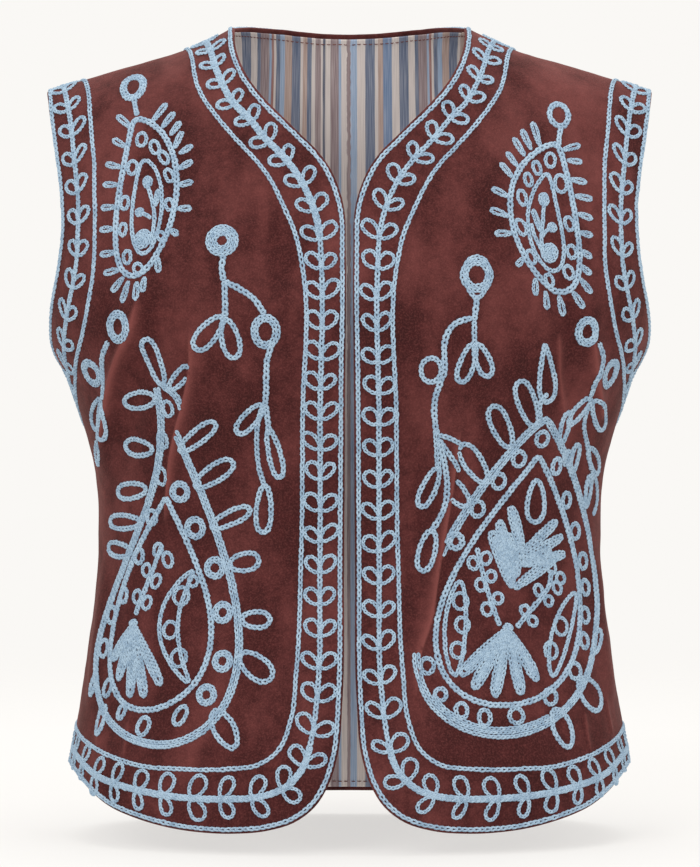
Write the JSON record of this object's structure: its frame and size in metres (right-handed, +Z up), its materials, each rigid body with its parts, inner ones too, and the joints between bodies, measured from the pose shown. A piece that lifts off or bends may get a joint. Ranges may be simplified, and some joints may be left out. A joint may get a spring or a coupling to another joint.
{
  "type": "embroidered waistcoat",
  "caption": "Open sleeveless velvet waistcoat in its worn form, with a deep V neck, rounded front corners, chain-stitch paisley embroidery and a striped lining.",
  "frame": {"origin": "midway between the two neck points, on the line of the shoulder seams", "axes": "+Z up, the open front faces -Y, +X towards the wearer's left side"},
  "size_m": [0.4058, 0.2561, 0.5316],
  "materials": {
    "velvet": "reddish-brown cotton velvet with a mottled pile",
    "lining": "woven cotton with vertical stripes of blue, grey, cream and tan",
    "embroidery": "light blue cotton chain stitch",
    "stitching": "brown sewing thread"
  },
  "bodies": {
    "root": {"front_right": "velvet", "front_left": "velvet", "back": "velvet", "lining_front_right": "lining", "lining_front_left": "lining", "lining_back": "lining"}
  },
  "joints": []
}
